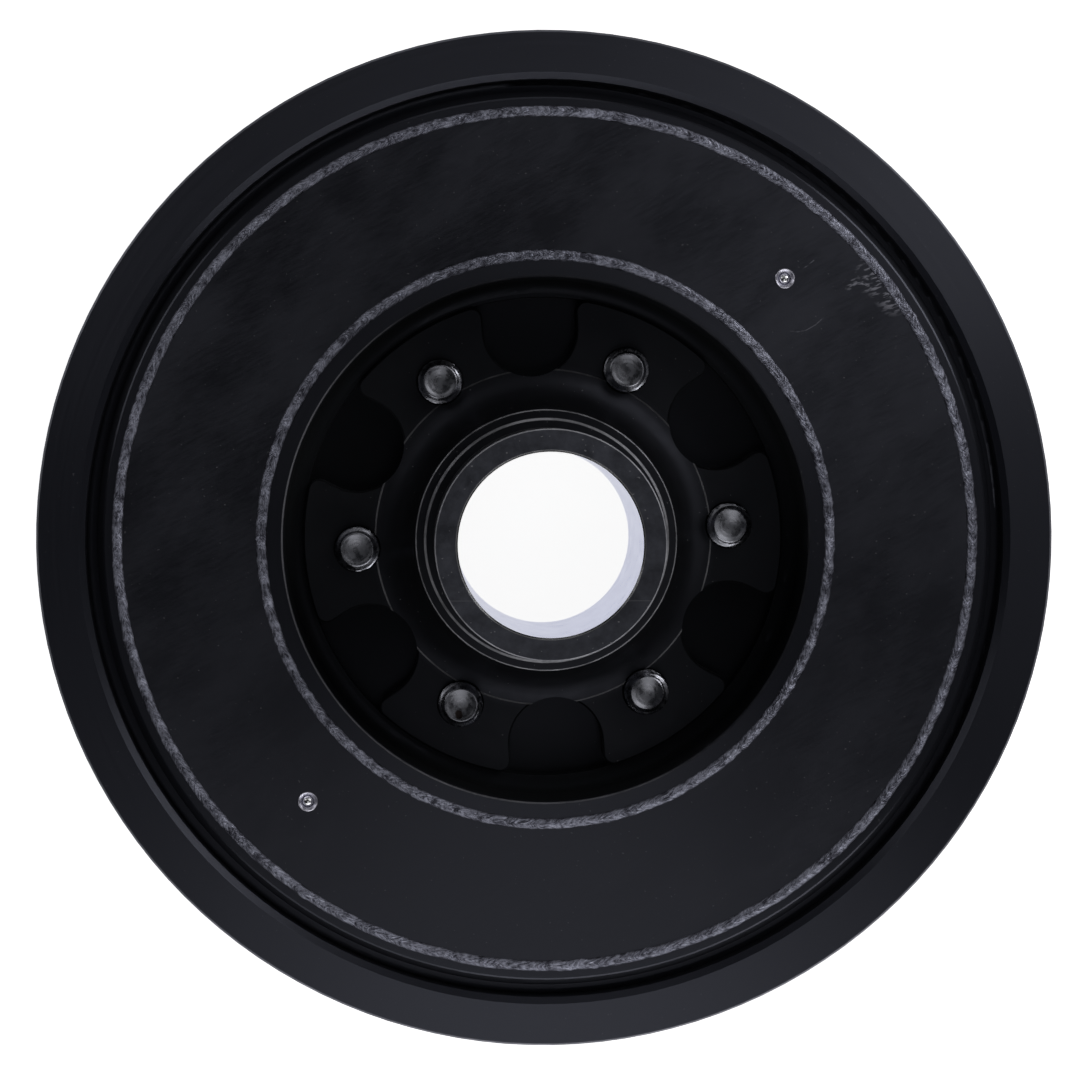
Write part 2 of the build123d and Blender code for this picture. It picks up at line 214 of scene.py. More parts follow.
# Where one finish gives way to the next: each pair is where the change starts and where it is complete
ON_SNOUT_END = (74.4 * MM, 74.9 * MM)
OUT_OF_BORE = (20.2 * MM, 20.5 * MM)
# The next four bound the painted shade on the hub's lobes and in the housing's pocket
DOWN_TO_LOBES = (27.0 * MM, 26.4 * MM)
OUT_TO_LOBES = (38.4 * MM, 39.4 * MM)
DOWN_POCKET = (45.7 * MM, 41.0 * MM)
OUT_OF_POCKET = (60.0 * MM, 60.2 * MM)
# Shares of painted shade, a matt black film, on the hub's lobes and in the housing's deep pocket
LOBE_PAINTED_SHADE = 0.3
POCKET_PAINTED_SHADE = 0.46

# How marks, rubbed lines with their painted glint and specks fade at their edges, and how far up a surface faces where
# walls end
STROKE_CORE = 0.35
WEAR_AND_GLINT_CORE = 0.55
SPECK_EDGE = 0.03
OFF_WALLS = (0.1, 0.5)


def place_camera():
    """Turn the measured lean of the shaft axis, seen from the camera, into the camera's own pose."""
    toward_camera = -Vector((AXIS_LEAN_RIGHT, AXIS_LEAN_DOWN, 1.0)).normalized()
    lobe = Vector((math.cos(LOBE_ROLL), -math.sin(LOBE_ROLL), 0.0))
    part_x = (lobe - toward_camera * lobe.dot(toward_camera)).normalized()
    part_y = toward_camera.cross(part_x)
    part_axes = Matrix((part_x, part_y, toward_camera))
    bore = Vector((BORE_OFFSET_RIGHT, BORE_OFFSET_DOWN, CAMERA_TO_SNOUT))
    origin_seen = bore - toward_camera * SNOUT_TOP
    place = part_axes @ -origin_seen
    right = part_axes @ Vector((1, 0, 0))
    up = part_axes @ Vector((0, -1, 0))
    back = part_axes @ Vector((0, 0, -1))
    turn = Matrix((right, up, back)).transposed()
    data = bpy.data.cameras.new("camera")
    data.lens = LENS_MM
    data.sensor_width = SENSOR_MM
    data.clip_start = NEAR_CLIP
    data.clip_end = FAR_CLIP
    camera = bpy.data.objects.new("camera", data)
    camera.matrix_world = Matrix.Translation(place) @ turn.to_4x4()
    bpy.context.scene.collection.objects.link(camera)
    bpy.context.scene.camera = camera


def area_lamp(name, azimuth, elevation, distance, width, height, power):
    """Soft rectangular lamp, placed by its bearing about the shaft and its height above the bench, facing the part."""
    data = bpy.data.lights.new(name, "AREA")
    data.shape = "RECTANGLE"
    data.size = width
    data.size_y = height
    data.energy = power
    bearing, rise = math.radians(azimuth), math.radians(elevation)
    target = Vector((0, 0, REAR_FACE))
    way = Vector((math.cos(rise) * math.cos(bearing), math.cos(rise) * math.sin(bearing), math.sin(rise)))
    lamp = bpy.data.objects.new(name, data)
    lamp.location = target + way * distance
    lamp.rotation_euler = (-way).to_track_quat("-Z", "Y").to_euler()
    lamp.visible_camera = False
    bpy.context.scene.collection.objects.link(lamp)


def walls(here, ahead):
    """Four-sided faces between rows of point numbers and the rows ahead of them, all the way round."""
    corners = (here, ahead, np.roll(ahead, -1, axis=1), np.roll(here, -1, axis=1))
    return np.stack(corners, axis=-1).reshape(-1, 4).tolist()


def skin(name, grid, closed_section):
    """Mesh over a grid of points: rows follow the section and columns go round the axis, so columns always wrap.

    A closed section wraps its rows too. An open one has a pole at each end, where its first and last rows are
    one point each.
    """
    rows, columns = grid.shape[:2]
    if closed_section:
        points = grid.reshape(-1, 3)
        index = np.arange(rows * columns).reshape(rows, columns)
        faces = walls(index, np.roll(index, -1, axis=0))
    else:
        points = np.concatenate((grid[0, :1], grid[1:-1].reshape(-1, 3), grid[-1, :1]))
        index = 1 + np.arange((rows - 2) * columns).reshape(rows - 2, columns)
        first, last = index[0], index[-1]
        start = np.stack((np.zeros_like(first), first, np.roll(first, -1)), axis=-1)
        end = np.stack((np.full_like(last, len(points) - 1), np.roll(last, -1), last), axis=-1)
        faces = walls(index[:-1], index[1:]) + start.tolist() + end.tolist()
    mesh = bpy.data.meshes.new(name)
    mesh.from_pydata(points.tolist(), [], faces)
    mesh.shade_smooth()
    mesh.set_sharp_from_angle(angle=SHARP_ANGLE)
    piece = bpy.data.objects.new(name, mesh)
    bpy.context.scene.collection.objects.link(piece)
    return piece


def carry(piece, name, kind, field, values):
    """Keep values at a piece's points under a name, for its finish to read."""
    carried = piece.data.attributes.new(name, kind, "POINT")
    carried.data.foreach_set(field, values.reshape(-1).astype(np.float32))


def wander(angles, seed, waves, smallest, largest):
    """Sum of sine waves with a spread of about one. Each has a random phase, and a random count round the ring."""
    chance = np.random.default_rng(seed)
    counts = chance.integers(smallest, largest, waves)
    phases = chance.uniform(0, TURN, waves)
    return np.sin(angles[:, None] * counts + phases).sum(axis=1) / math.sqrt(waves / 2)


def past(angles, bearing):
    """How far angles are past a bearing, from minus to plus half a turn."""
    return (angles - bearing + math.pi) % TURN - math.pi


def weld_bead(name, joint_r, stop, calm, seed):
    """Bead round a joint. One parameter goes round the ring, the other across the closed section.

    The crown is a low parabola. On it lie overlapping ripples: a sawtooth of the ring angle, drawn back towards
    the edges so that each ripple is an arrow head, high where it starts and falling to the next. The two arms of
    an arrow head start a little apart, as in a braid, and a finer sawtooth rides on the first. Width, height and
    ripple depth wander round the ring. The stop is a small round swelling with a crater before it. The ripples
    fade over the calm stretch. Under the crown the section is the square groove that the bead fills. Each point
    carries a place on a circle one unit long per ripple, and how far across it lies, so that the metal's streaks
    lie along the arrow heads.
    """
    ripples = round(TURN * joint_r / RIPPLE_PITCH)
    columns = ripples * RIPPLE_COLUMNS
    angle = np.arange(columns) * TURN / columns
    u = np.concatenate((np.linspace(-1, 1, CROWN_POINTS), (1.0, -1.0)))[:, None]
    on_crown = np.arange(len(u))[:, None] < CROWN_POINTS
    phase = ripples * angle / TURN + RIPPLE_SLIP * wander(angle, seed, 9, 5, 90)
    phase = phase + ARROW_DEPTH * (1 - np.abs(u) ** ARROW_POWER) + BRAID * np.tanh(u / BRAID)
    fine_phase = FINE_RATE * phase + FINE_LEAN * u
    tooth = (1 - FINE_SHARE) * (1 - (phase % 1) ** RIPPLE_FALL) + FINE_SHARE * (1 - fine_phase % 1)
    strengths = np.random.default_rng(seed + 1).uniform(*RIPPLE_STRENGTHS, ripples + SPARE_RIPPLES)
    strength = strengths[np.floor(phase).astype(int) % len(strengths)]
    rough = np.clip(CALM_SHARE + np.abs(past(angle, calm)) / CALM_REACH, CALM_SHARE, 1.0)
    breadth = WIDTH_MIDDLE + WIDTH_WANDER * wander(angle, seed + 2, 14, 20, 260)
    breadth = breadth + WIDTH_BY_RIPPLE * (tooth - 0.5) * rough
    shift = SIDE_WANDER * wander(angle, seed + 3, 10, 6, 120)
    height = (CROWN_HEIGHT + CROWN_WANDER * wander(angle, seed + 4, 12, 10, 160)) * (1 - u ** 2)
    height = height + RIPPLE_HEIGHT * rough * strength * (tooth - RIPPLE_MEAN) * (1 - np.abs(u) ** 3)
    gap = joint_r * past(angle, stop)
    crater = CRATER_SHARE * np.exp(-((gap + CRATER_OFFSET) / CRATER_SPREAD) ** 2)
    height = height + STOP_HEIGHT * (np.exp(-(gap / STOP_SPREAD) ** 2) - crater) * (1 - u ** 2)
    radius = joint_r + np.where(on_crown, u * WELD_HALF_WIDTH * breadth + shift, u * WELD_HALF_WIDTH)
    rise = REAR_FACE + np.where(on_crown, height - CROWN_TUCK * np.abs(u) ** 8, -WELD_DEPTH)
    piece = skin(name, np.stack((radius * np.cos(angle), radius * np.sin(angle), rise), axis=-1), True)
    circle_r = ripples / TURN
    turn = phase / circle_r
    across = np.broadcast_to(STREAK_SPREAD * u, turn.shape)
    ripple_place = np.stack((circle_r * np.cos(turn), circle_r * np.sin(turn), across), axis=-1)
    carry(piece, "ripple_place", "FLOAT_VECTOR", "vector", ripple_place)
    return piece


def thread_radius(height, angle, start):
    """Radius of a right-hand thread: flat crest, straight flanks and flat root, winding up with the angle."""
    phase = (height - BOLT_TIP) / THREAD_PITCH - angle / TURN + start
    off_crest = 2 * np.abs(phase - np.floor(phase) - 0.5)
    return BOLT_R - THREAD_DEPTH * (1 - np.clip((THREAD_ROOT_FROM - off_crest) / THREAD_FLANK, 0, 1))


def bolt(number, start, roll, dish):
    """Bolt as one skin of revolution from the middle of its end to the middle of its head.

    The end face is dished inside a raised lip. The shank's radius is the smaller of the thread and the cone of
    the end chamfer. The head's radius is the smaller of the hexagon, half the flats over the cosine of the angle
    off the nearest flat, and its chamfered face. Each point carries its distance from the bolt's own axis.
    """
    angle = np.arange(BOLT_COLUMNS) * TURN / BOLT_COLUMNS
    bearing = number * TURN / BOLTS
    share = np.linspace(0, 1, DISH_RINGS)
    dish_z = BOLT_TIP - dish * MM * (1 - share ** DISH_POWER) + DISH_RIPPLE * np.sin(share * DISH_RIPPLE_RATE) * share
    dish_z[-1] = BOLT_TIP
    rings = list(zip(share * (BOLT_END_R - LIP_WIDTH), dish_z))
    # Rings about a tenth of a millimetre apart, closest over the end chamfer
    below_tip = np.concatenate((np.linspace(0.1, 1.6, 20), np.arange(1.72, 7.0, 0.12))) * MM
    for drop in below_tip:
        rings.append((np.minimum(thread_radius(BOLT_TIP - drop, angle, start), BOLT_END_R + drop), BOLT_TIP - drop))
    rings += [(BOLT_NECK_R, BOLT_TIP - below_tip[-1]), (BOLT_NECK_R, HEAD_HIGH), (HEAD_BACK_R, HEAD_HIGH)]
    off_flat = (angle + roll) % (TURN / 6) - TURN / 12
    hexagon = np.minimum(HEAD_HALF_FLATS / np.cos(off_flat), HEAD_CORNER_R)
    rings += [(hexagon, HEAD_HIGH - HEAD_BACK_BEVEL), (hexagon, HEAD_LOW + HEAD_CHAMFER)]
    for up in np.linspace(CHAMFER_TURN, 0, CHAMFER_RINGS):
        reach = HEAD_FACE_R + (HEAD_CORNER_R - HEAD_FACE_R) * up / HEAD_CHAMFER
        rings.append((np.minimum(hexagon, reach), HEAD_LOW + up))
    rings += [(HEAD_FACE_R - HEAD_FACE_BORDER, HEAD_LOW), (HEAD_MIDDLE_R, HEAD_LOW), (0.0, HEAD_LOW)]
    radius = np.array([np.broadcast_to(r, BOLT_COLUMNS) for r, z in rings])
    height = np.array([np.broadcast_to(z, BOLT_COLUMNS) for r, z in rings])
    grid = np.stack((BOLT_CIRCLE_R * math.cos(bearing) + radius * np.cos(angle),
                     BOLT_CIRCLE_R * math.sin(bearing) + radius * np.sin(angle), height), axis=-1)
    piece = skin(f"threaded_bolt_{number + 1}", grid, False)
    carry(piece, "from_centre", "FLOAT", "value", np.concatenate(((0.0,), radius[1:-1].reshape(-1), (0.0,))))
    return piece


def plug_sleeve(number, centre, seed):
    """Sleeve as a closed section turned about the plug's own axis: bore, funnel, rolled lip and outer wall.

    The funnel's depth wanders a little with the angle, as where the mouth was staked over the ball.
    """
    angle = np.arange(SLEEVE_COLUMNS) * TURN / SLEEVE_COLUMNS
    radius, rise, share = np.array(SLEEVE_SECTION).T[:, :, None]
    radius = radius * MM * np.ones(SLEEVE_COLUMNS)
    height = REAR_FACE + rise * MM + share * STAKING_WANDER * wander(angle, seed, 3, 1, 4)
    grid = np.stack((centre[0] + radius * np.cos(angle), centre[1] + radius * np.sin(angle), height), axis=-1)
    return skin(f"staked_sleeve_{number}", grid, True)


def new_material(name, colour, roughness, metallic=0.0, specular=0.5):
    """Node material with its constants set. Returns it with its node tree, its shader and a way to add nodes.

    A node's inputs are given by name, or as i and their number. Each is a constant or another node's output.
    """
    material = bpy.data.materials.new(name)
    material.use_nodes = True
    tree = material.node_tree
    shader = tree.nodes["Principled BSDF"]
    shader.inputs["Base Color"].default_value = (*colour, 1.0)
    shader.inputs["Roughness"].default_value = roughness
    shader.inputs["Metallic"].default_value = metallic
    shader.inputs["Specular IOR Level"].default_value = specular
    shader.inputs["Specular Tint"].default_value = SPECULAR_TINT

    def add(kind, settings=None, **inputs):
        node = tree.nodes.new("ShaderNode" + kind)
        for key, value in (settings or {}).items():
            setattr(node, key, value)
        for key, value in inputs.items():
            socket = node.inputs[int(key[1:])] if key[0] == "i" and key[1:].isdigit() else node.inputs[key]
            if isinstance(value, bpy.types.NodeSocket):
                tree.links.new(value, socket)
            else:
                socket.default_value = value
        return node

    return material, tree, shader, add


def calc(add, operation, first, second):
    """One Math node's result."""
    return add("Math", {"operation": operation}, i0=first, i1=second).outputs[0]


def size_of(add, value):
    """A value without its sign."""
    return add("Math", {"operation": "ABSOLUTE"}, i0=value).outputs[0]


def vector_calc(add, operation, first, second):
    """One Vector Math node's vector."""
    return add("VectorMath", {"operation": operation}, i0=first, i1=second).outputs["Vector"]


def measure(add, operation, first, second):
    """One Vector Math node's number."""
    return add("VectorMath", {"operation": operation}, i0=first, i1=second).outputs["Value"]


def coordinates(add):
    """Object coordinates of the surface."""
    return add("TexCoord").outputs["Object"]


def z_of(add, vector):
    """Third part of a vector."""
    return add("SeparateXYZ", i0=vector).outputs[2]


def flattened(add, place):
    """A place without its height."""
    return vector_calc(add, "MULTIPLY", place, (1.0, 1.0, 0.0))


def grade(add, value, low, high, low_out=0.0, high_out=1.0):
    """Straight ramp from one range to another, held at its ends."""
    return add("MapRange", {"clamp": True}, i0=value, i1=low, i2=high, i3=low_out, i4=high_out).outputs[0]


def noise(add, place, scale, detail=3.0, rough=0.55):
    """Factor of a fractal noise."""
    return add("TexNoise", Vector=place, Scale=scale, Detail=detail, Roughness=rough).outputs[0]


def specks(add, place, scale, rarity):
    """One on small scattered specks and nought elsewhere."""
    return grade(add, noise(add, place, scale, detail=0.0), rarity, rarity + SPECK_EDGE)


def blend_colour(add, factor, first, second):
    """Mix of two colours by a factor."""
    first, second = (end if isinstance(end, bpy.types.NodeSocket) else (*end, 1.0) for end in (first, second))
    return add("Mix", {"data_type": "RGBA"}, i0=factor, i6=first, i7=second).outputs[2]


def relief(tree, add, shader, height, distance):
    """Bump whose full height is the distance, in metres."""
    tree.links.new(add("Bump", Height=height, Distance=distance, Strength=1.0).outputs[0], shader.inputs["Normal"])


def turned_grain(tree, add, shader, anisotropy):
    """Highlights run across the lathe marks: the tangent goes round the shaft, turned a quarter by the rotation."""
    place = coordinates(add)
    round_way = vector_calc(add, "CROSS_PRODUCT", (0.0, 0.0, 1.0), place)
    tangent = add("VectorMath", {"operation": "NORMALIZE"}, i0=round_way).outputs[0]
    tree.links.new(tangent, shader.inputs["Tangent"])
    shader.inputs["Anisotropic"].default_value = anisotropy
    shader.inputs["Anisotropic Rotation"].default_value = GRAIN_TURN
    return place


def off_walls(add):
    """Nought on upright walls, rising to one on chamfers and flat faces."""
    return grade(add, size_of(add, z_of(add, add("TexCoord").outputs["Normal"])), *OFF_WALLS)


def ring_coordinates(add, place, along):
    """Radius, height and a little of the angle as a vector, so that noise on it becomes rings.

    On upright walls only height counts, since there a hair of radius would show the flats of a round wall. The
    true radius is returned beside the vector.
    """
    split = add("SeparateXYZ", i0=place)
    radius = add("VectorMath", {"operation": "LENGTH"}, i0=flattened(add, place)).outputs["Value"]
    angle = calc(add, "ARCTAN2", split.outputs[1], split.outputs[0])
    wave = calc(add, "MULTIPLY", add("Math", {"operation": "SINE"}, i0=angle).outputs[0], along)
    across = calc(add, "MULTIPLY", radius, off_walls(add))
    return add("CombineXYZ", i0=across, i1=split.outputs[2], i2=wave).outputs[0], radius


def lean_coordinates(add, place, bearing, stretch):
    """Object coordinates turned to a bearing and squeezed along it, so that noise on them becomes strokes."""
    turned = add("Mapping", Vector=place, Rotation=(0.0, 0.0, -math.radians(bearing))).outputs[0]
    return vector_calc(add, "MULTIPLY", turned, (stretch, 1.0, 1.0))


def stroke(add, place, start, end, half_width):
    """One along a straight mark from start to end, in millimetres on the rear face, and nought away from it."""
    begin, finish = Vector((*start, 0.0)) * MM, Vector((*end, 0.0)) * MM
    way = (finish - begin).normalized()
    offset = vector_calc(add, "SUBTRACT", flattened(add, place), begin)
    along = measure(add, "DOT_PRODUCT", offset, way)
    held = add("Clamp", Value=along, Min=0.0, Max=(finish - begin).length).outputs[0]
    foot = add("VectorMath", {"operation": "SCALE"}, i0=way, Scale=held).outputs[0]
    return grade(add, measure(add, "DISTANCE", offset, foot), half_width * MM, half_width * STROKE_CORE * MM)


def widest(add, masks):
    """The greatest of several masks."""
    greatest = masks[0]
    for mask in masks[1:]:
        greatest = calc(add, "MAXIMUM", greatest, mask)
    return greatest


def lay_painted_shade(tree, add, shader, share):
    """Painted shade: a matt black film laid over a coat, where the share of the surface it covers dims the coat's
    gloss.
    """
    film = add("BsdfDiffuse", Color=PAINTED_SHADE_BLACK)
    both = add("MixShader", i0=share, i1=shader.outputs[0], i2=film.outputs[0])
    tree.links.new(both.outputs[0], tree.nodes["Material Output"].inputs["Surface"])


def wear_and_glint_edges(add, place, radius, edges):
    """One on the narrow turned edges where the coat has rubbed thin and a painted glint lies, broken up round the ring.

    Each edge has a radius, half a width, a wear at the middle, and a direction towards which its wear grows, so that
    the painted glint is stronger on the side the lamps catch.
    """
    lines = [0.0]
    for centre, half_width, middling, towards in edges:
        off = size_of(add, calc(add, "SUBTRACT", radius, centre * MM))
        line = grade(add, off, half_width * MM, WEAR_AND_GLINT_CORE * half_width * MM)
        side = calc(add, "ADD", measure(add, "DOT_PRODUCT", place, (*towards, 0.0)), middling)
        lines.append(calc(add, "MULTIPLY", line, grade(add, side, 0.0, 1.0, 0.1, 1.0)))
    wear_and_glint = calc(add, "MULTIPLY", widest(add, lines), off_walls(add))
    broken = grade(add, noise(add, place, scale=130.0, detail=4.0, rough=0.7), 0.34, 0.62, 0.3, 1.0)
    return calc(add, "MULTIPLY", wear_and_glint, broken)


def turned_black(name, colour, specular, edges, pocket_shade=0.0):
    """Satin black coat over turned steel: ring-shaped changes of gloss, faint lathe relief, a little dust, and rubbed
    edges with a painted glint.

    The pocket shade is the share of painted shade, a matt black film, laid over the coat inside the deep pocket.
    """
    material, tree, shader, add = new_material(name, colour, roughness=0.34, specular=specular)
    place = turned_grain(tree, add, shader, anisotropy=0.8)
    rings, radius = ring_coordinates(add, place, along=0.0015)
    fine = noise(add, rings, scale=2600.0, detail=2.0)
    broad = noise(add, place, scale=22.0, detail=4.0)
    uneven = calc(add, "ADD", calc(add, "MULTIPLY", fine, 0.2), calc(add, "MULTIPLY", broad, 0.14))
    tree.links.new(grade(add, uneven, 0.0, 0.34, 0.25, 0.43), shader.inputs["Roughness"])
    tone = blend_colour(add, specks(add, place, 1900.0, 0.85), colour, DUST)
    # Rubbed edges with a painted glint: lighter and more metallic, stronger on the side the lamps catch
    wear_and_glint = calc(add, "MULTIPLY", wear_and_glint_edges(add, place, radius, edges), 0.7)
    tree.links.new(wear_and_glint, shader.inputs["Metallic"])
    tree.links.new(blend_colour(add, wear_and_glint, tone, WEAR_AND_GLINT_STEEL), shader.inputs["Base Color"])
    # Painted shade: a matt black film dims the coat's gloss deep in the pocket
    if pocket_shade:
        low = grade(add, z_of(add, place), *DOWN_POCKET, 0.0, pocket_shade)
        inside = grade(add, radius, *OUT_OF_POCKET, 1.0, 0.0)
        lay_painted_shade(tree, add, shader, calc(add, "MULTIPLY", low, inside))
    relief(tree, add, shader, fine, 0.003 * MM)
    return material


def handling_marks(add, place):
    """Share of torn coat along the scratches and over the scuffs of the cover plate."""
    scratches = [stroke(add, place, *SCRATCH)]
    for start, end in zip(CURVED_SCRATCH, CURVED_SCRATCH[1:]):
        scratches.append(stroke(add, place, start, end, CURVED_SCRATCH_HALF_WIDTH))
    torn = noise(add, lean_coordinates(add, place, 14.0, 0.28), scale=1600.0, detail=2.0, rough=0.6)
    scratched = calc(add, "MULTIPLY", calc(add, "MULTIPLY", widest(add, scratches), 0.42), grade(add, torn, 0.36, 0.55))
    scuffed = widest(add, [stroke(add, place, *scuff) for scuff in SCUFFS])
    return widest(add, [scratched, calc(add, "MULTIPLY", scuffed, grade(add, torn, 0.50, 0.60, 0.0, 0.9))])


def cover_black():
    """Coat over a flat plate: fine strokes all one way, cloudy gloss, and the marks left by handling."""
    material, tree, shader, add = new_material("satin_black_cover", COVER_BLACK, roughness=0.40, specular=0.7)
    place = turned_grain(tree, add, shader, anisotropy=0.5)
    strokes = noise(add, lean_coordinates(add, place, 24.0, 0.12), scale=1500.0, rough=0.65)
    long_strokes = noise(add, lean_coordinates(add, place, 31.0, 0.05), scale=420.0, rough=0.7)
    cloud = noise(add, lean_coordinates(add, place, 40.0, 0.6), scale=62.0, detail=5.0, rough=0.6)
    uneven = calc(add, "ADD", calc(add, "MULTIPLY", strokes, 0.5), calc(add, "MULTIPLY", cloud, 1.2))
    for spot, spread in SMOOTH_SPOTS:
        off = measure(add, "DISTANCE", place, (*(part * MM for part in spot), REAR_FACE))
        smooth = grade(add, off, 0.4 * spread * MM, 1.5 * spread * MM, 0.2, 0.0)
        uneven = calc(add, "SUBTRACT", uneven, calc(add, "MULTIPLY", smooth, grade(add, cloud, 0.3, 0.6, 0.6, 1.2)))
    tree.links.new(grade(add, uneven, 0.66, 1.04, 0.29, 0.49), shader.inputs["Roughness"])
    tone = blend_colour(add, grade(add, long_strokes, 0.60, 0.85, 0.0, 0.05), COVER_BLACK, COVER_STREAK)
    tone = blend_colour(add, specks(add, place, 1900.0, 0.84), tone, COVER_DUST)
    tone = blend_colour(add, handling_marks(add, place), tone, COVER_SCRATCH)
    tree.links.new(tone, shader.inputs["Base Color"])
    relief(tree, add, shader, strokes, 0.005 * MM)
    return material


def hub_black():
    """Dull black conversion coat on the hub, speckled and lighter on the end of the snout, with a thin light line
    across it.

    The bore is bare, the coat on the turned edges is rubbed thin under a painted glint, and painted shade, a matt black
    film, lies on the lobes down in the pocket.
    """
    material, tree, shader, add = new_material("black_conversion_coat", HUB_BLACK, roughness=0.36)
    place = turned_grain(tree, add, shader, anisotropy=0.45)
    rings, radius = ring_coordinates(add, place, along=0.0008)
    height = z_of(add, place)
    fine = noise(add, rings, scale=3200.0, detail=2.0)
    mottle = noise(add, place, scale=260.0, detail=4.0, rough=0.7)
    on_end = grade(add, height, *ON_SNOUT_END)
    spotted = calc(add, "MULTIPLY", on_end, grade(add, mottle, 0.35, 0.75, 0.35, 1.0))
    tone = blend_colour(add, spotted, HUB_BLACK, SNOUT_END)
    # A thin light line across the snout's end
    pale_line = calc(add, "MULTIPLY", calc(add, "MULTIPLY", on_end, stroke(add, place, *PALE_LINE)), 0.6)
    tone = blend_colour(add, widest(add, [specks(add, place, 1700.0, 0.84), pale_line]), tone, PALE_LINE_GREY)
    # Rubbed edges with a painted glint: lighter and more metallic, stronger on the side the lamps catch
    wear_and_glint = wear_and_glint_edges(add, place, radius, HUB_EDGES)
    tone = blend_colour(add, wear_and_glint, tone, WEAR_AND_GLINT_HUB)
    bare = grade(add, radius, *OUT_OF_BORE, 1.0, 0.0)
    tree.links.new(blend_colour(add, bare, tone, BORE_STEEL), shader.inputs["Base Color"])
    tree.links.new(widest(add, [bare, calc(add, "MULTIPLY", wear_and_glint, 0.35)]), shader.inputs["Metallic"])
    uneven = calc(add, "ADD", calc(add, "MULTIPLY", fine, 0.5), mottle)
    coat_gloss = grade(add, uneven, 0.4, 1.1, 0.28, 0.46)
    bore_gloss = calc(add, "MULTIPLY", bare, 0.2)
    tree.links.new(calc(add, "SUBTRACT", coat_gloss, bore_gloss), shader.inputs["Roughness"])
    relief(tree, add, shader, uneven, 0.004 * MM)
    # Painted shade: a matt black film dims the lobes down in the pocket
    on_lobes = grade(add, height, *DOWN_TO_LOBES, 0.0, LOBE_PAINTED_SHADE)
    lay_painted_shade(tree, add, shader, calc(add, "MULTIPLY", on_lobes, grade(add, radius, *OUT_TO_LOBES)))
    return material


def weld_metal():
    """Dark film over bright ripples: light and dark patches, soot along the edges, and a fine scaly relief."""
    material, tree, shader, add = new_material("rippled_weld", WELD_GREY, roughness=0.36, metallic=1.0)
    place = coordinates(add)
    patches = noise(add, place, scale=420.0, detail=4.0, rough=0.7)
    grain = noise(add, place, scale=2400.0, rough=0.7)
    ripple_place = add("Attribute", {"attribute_name": "ripple_place"}).outputs["Vector"]
    streaks = noise(add, ripple_place, scale=4.2, rough=0.75)
    across = size_of(add, z_of(add, ripple_place))
    uneven = calc(add, "ADD", calc(add, "MULTIPLY", patches, 0.45), calc(add, "MULTIPLY", streaks, 0.55))
    tone = blend_colour(add, grade(add, uneven, 0.42, 0.60), WELD_DARK, WELD_BRIGHT)
    sooty = calc(add, "MULTIPLY", grade(add, across, 0.42, 0.56), grade(add, patches, 0.3, 0.7, 1.0, 0.5))
    tree.links.new(blend_colour(add, sooty, tone, WELD_SOOT), shader.inputs["Base Color"])
    tree.links.new(grade(add, grain, 0.3, 0.7, 0.26, 0.5), shader.inputs["Roughness"])
    relief(tree, add, shader, calc(add, "ADD", grain, calc(add, "MULTIPLY", streaks, 2.0)), 0.075 * MM)
    return material


def zinc_plate():
    """Zinc over rolled steel: rings about the bolt's own middle, a mottle, and one bolt's dark stain."""
    material, tree, shader, add = new_material("zinc_plated_bolt", BOLT_ZINC, roughness=0.34, metallic=1.0)
    place = coordinates(add)
    centre = add("Attribute", {"attribute_name": "from_centre"}).outputs["Fac"]
    ringed = noise(add, add("CombineXYZ", i0=centre).outputs[0], scale=2800.0, rough=0.6)
    mottle = noise(add, place, scale=700.0, detail=4.0, rough=0.65)
    both = calc(add, "ADD", calc(add, "MULTIPLY", ringed, 0.6), mottle)
    tone = blend_colour(add, grade(add, both, 0.6, 1.0), tuple(0.72 * part for part in BOLT_ZINC), BOLT_ZINC)
    stain = grade(add, stroke(add, place, *STAIN), 0.3, 0.6, 0.0, 0.95)
    tree.links.new(blend_colour(add, stain, tone, BOLT_STAIN), shader.inputs["Base Color"])
    tree.links.new(grade(add, mottle, 0.38, 0.62, 0.22, 0.34), shader.inputs["Roughness"])
    relief(tree, add, shader, both, 0.006 * MM)
    return material


def bright_metal(name, colour, low, high, rough_skin=0.008):
    """Bare metal with a fine mottle in its gloss and a skin as rough as given, in millimetres."""
    material, tree, shader, add = new_material(name, colour, roughness=low, metallic=1.0)
    mottle = noise(add, coordinates(add), scale=1800.0, rough=0.6)
    tree.links.new(grade(add, mottle, 0.3, 0.7, low, high), shader.inputs["Roughness"])
    relief(tree, add, shader, mottle, rough_skin * MM)
    return material


def dress(name, material):
    """Give a CAD node one material."""
    mesh = nodes[name].data
    mesh.materials.clear()
    mesh.materials.append(material)


def light_air():
    """Dim cool air round the part, which looks pale where the camera sees it straight."""
    world = bpy.data.worlds.new("studio")
    world.use_nodes = True
    tree = world.node_tree
    air = tree.nodes["Background"]
    air.inputs["Color"].default_value = AIR_COLOUR
    air.inputs["Strength"].default_value = AIR_STRENGTH
    pale = tree.nodes.new("ShaderNodeBackground")
    pale.inputs["Strength"].default_value = 1.0
    mix = tree.nodes.new("ShaderNodeMixShader")
    path = tree.nodes.new("ShaderNodeLightPath")
    tree.links.new(path.outputs["Is Camera Ray"], mix.inputs[0])
    tree.links.new(air.outputs[0], mix.inputs[1])
    tree.links.new(pale.outputs[0], mix.inputs[2])
    tree.links.new(mix.outputs[0], tree.nodes["World Output"].inputs["Surface"])
    bpy.context.scene.world = world


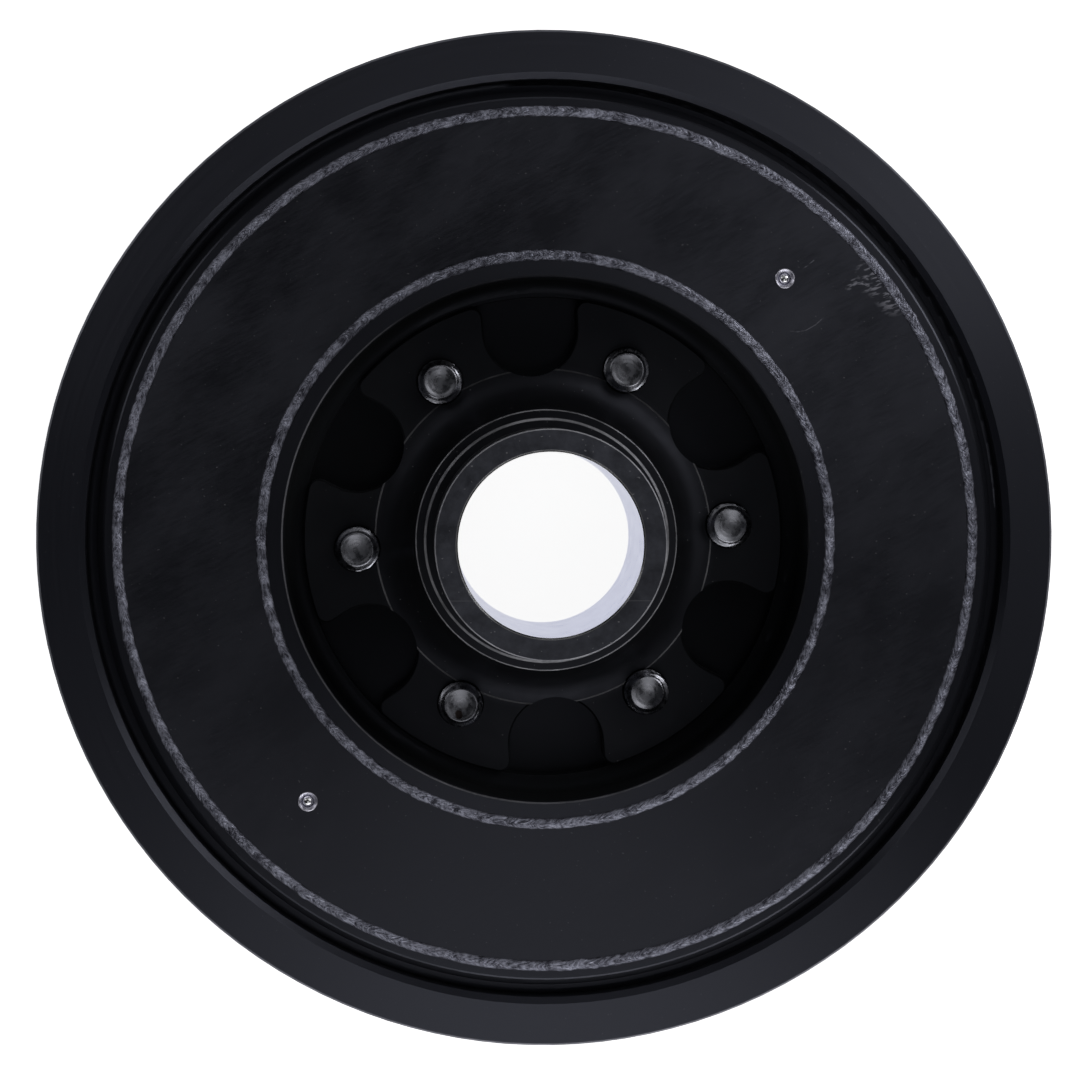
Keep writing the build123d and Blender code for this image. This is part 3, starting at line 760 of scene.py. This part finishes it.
def lay_bench():
    """Pale bench that looks white to the camera and in reflections, yet keeps the part's shadow."""
    corners = [(x * BENCH_HALF, y * BENCH_HALF, 0) for x, y in ((-1, -1), (1, -1), (1, 1), (-1, 1))]
    mesh = bpy.data.meshes.new("bench")
    mesh.from_pydata(corners, [], [(0, 1, 2, 3)])
    bench = bpy.data.objects.new("bench", mesh)
    bpy.context.scene.collection.objects.link(bench)
    material, tree, shader, add = new_material("white_bench", BENCH_GREY, roughness=0.9)
    path = add("LightPath").outputs
    seen = widest(add, [path[f"Is {kind} Ray"] for kind in ("Camera", "Glossy", "Transmission")])
    glow = add("Emission", Strength=calc(add, "MULTIPLY", seen, BENCH_GLOW))
    both = add("AddShader", i0=shader.outputs[0], i1=glow.outputs[0])
    tree.links.new(both.outputs[0], tree.nodes["Material Output"].inputs["Surface"])
    mesh.materials.append(material)


place_camera()
bpy.context.scene.view_settings.view_transform = "Standard"
light_air()
lay_bench()
for level, elevation, distance, width, height, lamps in LAMP_RINGS:
    for bearing, watts in lamps:
        area_lamp(f"{level}_lamp_{bearing}", bearing, elevation, distance, width, height, watts)

weld = weld_metal()
for node, joint_r, stop, calm, seed in WELDS:
    bead = weld_bead(f"{node}_bead", joint_r, stop, calm, seed)
    bead.data.materials.append(weld)
    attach(bead, "damper_body")
    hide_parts(node)

zinc = zinc_plate()
for number, (start, roll, dish) in enumerate(BOLT_LOOKS):
    piece = bolt(number, start, roll, dish)
    piece.data.materials.append(zinc)
    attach(piece, "damper_body")
    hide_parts(f"bolt_{number + 1}")

sleeve_metal = bright_metal("staked_bright_steel", SLEEVE_STEEL, 0.30, 0.44, 0.006)
ball_metal = bright_metal("polished_ball_steel", BALL_STEEL, 0.15, 0.22, 0.002)
for number in (1, 2):
    low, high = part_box(f"fill_sleeve_{number}")
    centre = (Vector(low) + Vector(high)) / 2
    piece = plug_sleeve(number, centre, SLEEVE_SEED + number)
    piece.data.materials.append(sleeve_metal)
    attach(piece, "damper_body")
    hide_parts(f"fill_sleeve_{number}")
    dress(f"fill_ball_{number}", ball_metal)

dress("belt_rim", turned_black("satin_black_rim_coat", RIM_BLACK, 1.0, RIM_EDGES))
dress("damper_housing", turned_black("satin_black_housing_coat", HOUSING_BLACK, 0.6, HOUSING_EDGES, POCKET_PAINTED_SHADE))
dress("cover_plate", cover_black())
dress("crank_hub", hub_black())
washer_zinc = bright_metal("zinc_plated_washer", WASHER_ZINC, 0.3, 0.5)
for number in range(BOLTS):
    dress(f"washer_{number + 1}", washer_zinc)
dress("inertia_ring", bright_metal("turned_plain_steel", RING_STEEL, 0.28, 0.42))
bronze = bright_metal("bearing_bronze", BRONZE, 0.3, 0.45)
for name in ("journal_band", "front_thrust_washer", "rear_thrust_washer"):
    dress(name, bronze)
